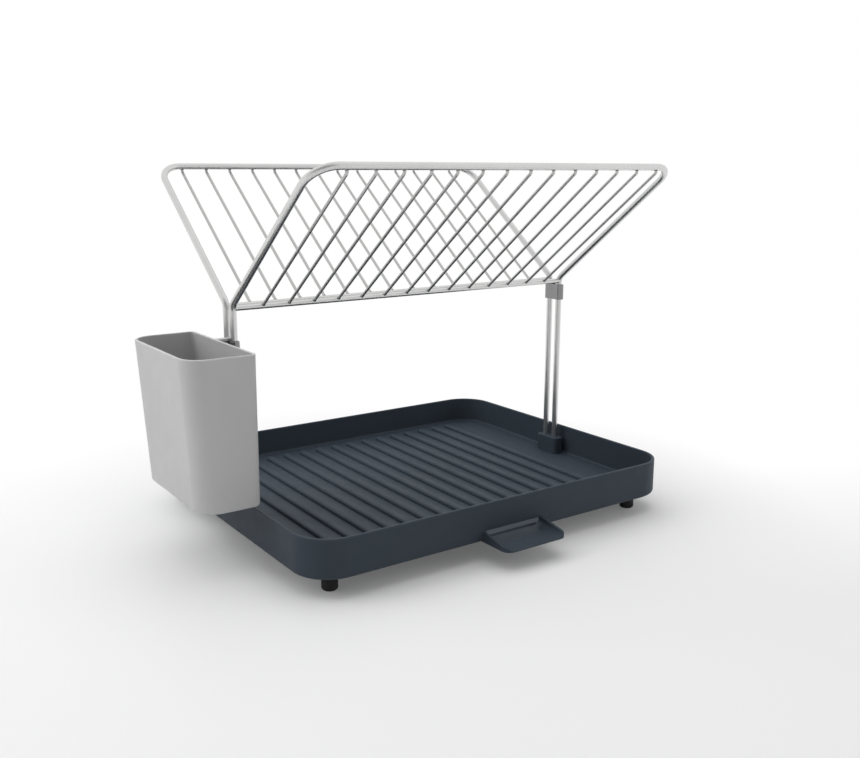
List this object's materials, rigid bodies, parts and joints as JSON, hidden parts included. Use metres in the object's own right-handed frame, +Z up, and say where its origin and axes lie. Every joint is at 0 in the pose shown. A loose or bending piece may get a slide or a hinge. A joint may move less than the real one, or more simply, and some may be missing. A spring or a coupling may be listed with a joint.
{
  "type": "two-tier dish rack",
  "caption": "Two-tier dish rack: V-shaped steel wire plate rack on twin posts over a ribbed drip tray with a drain spout, and a hook-on cutlery pot.",
  "frame": {"origin": "middle of the object's box, at the counter that the feet stand on", "axes": "+X along the tray to the viewer's right, +Y from the spout side to the back, +Z up"},
  "size_m": [0.4676, 0.3638, 0.3424],
  "materials": {
    "tray": "matt moulded plastic, dark blue-grey, fine texture",
    "rubber": "matt black rubber",
    "steel_rod": "satin drawn stainless steel rod",
    "steel_wire": "satin drawn stainless steel wire",
    "sleeve": "polished stainless steel band",
    "pot": "matt moulded plastic, light grey"
  },
  "bodies": {
    "tray": {"tray": "tray", "front_left_foot": "rubber", "front_right_foot": "rubber", "back_left_foot": "rubber", "back_right_foot": "rubber"},
    "rack": {"front_frame": "steel_rod", "back_frame": "steel_rod", "front_bottom_rail": "steel_rod", "back_bottom_rail": "steel_rod", "front_wire_01": "steel_wire", "front_wire_02": "steel_wire", "front_wire_03": "steel_wire", "front_wire_04": "steel_wire", "front_wire_05": "steel_wire", "front_wire_06": "steel_wire", "front_wire_07": "steel_wire", "front_wire_08": "steel_wire", "front_wire_09": "steel_wire", "front_wire_10": "steel_wire", "front_wire_11": "steel_wire", "front_wire_12": "steel_wire", "front_wire_13": "steel_wire", "front_wire_14": "steel_wire", "back_wire_01": "steel_wire", "back_wire_02": "steel_wire", "back_wire_03": "steel_wire", "back_wire_04": "steel_wire", "back_wire_05": "steel_wire", "back_wire_06": "steel_wire", "back_wire_07": "steel_wire", "back_wire_08": "steel_wire", "back_wire_09": "steel_wire", "back_wire_10": "steel_wire", "back_wire_11": "steel_wire", "back_wire_12": "steel_wire", "back_wire_13": "steel_wire", "back_wire_14": "steel_wire"},
    "right_sleeve": {"right_sleeve": "sleeve"},
    "left_sleeve": {"left_sleeve": "sleeve"},
    "cutlery_pot": {"cutlery_pot": "pot"}
  },
  "joints": [
    {"name": "rack_lift", "type": "slide", "parent": "tray", "child": "rack", "axis": [0, 0, 1], "range_m": [0, 0.06]},
    {"name": "right_sleeve_slide", "type": "slide", "parent": "rack", "child": "right_sleeve", "axis": [0, 0, 1], "range_m": [-0.155, 0]},
    {"name": "left_sleeve_slide", "type": "slide", "parent": "rack", "child": "left_sleeve", "axis": [0, 0, 1], "range_m": [-0.06, 0.0247]},
    {"name": "pot_lift", "type": "slide", "parent": "left_sleeve", "child": "cutlery_pot", "axis": [0, 0, 1], "range_m": [0, 0.29]}
  ]
}
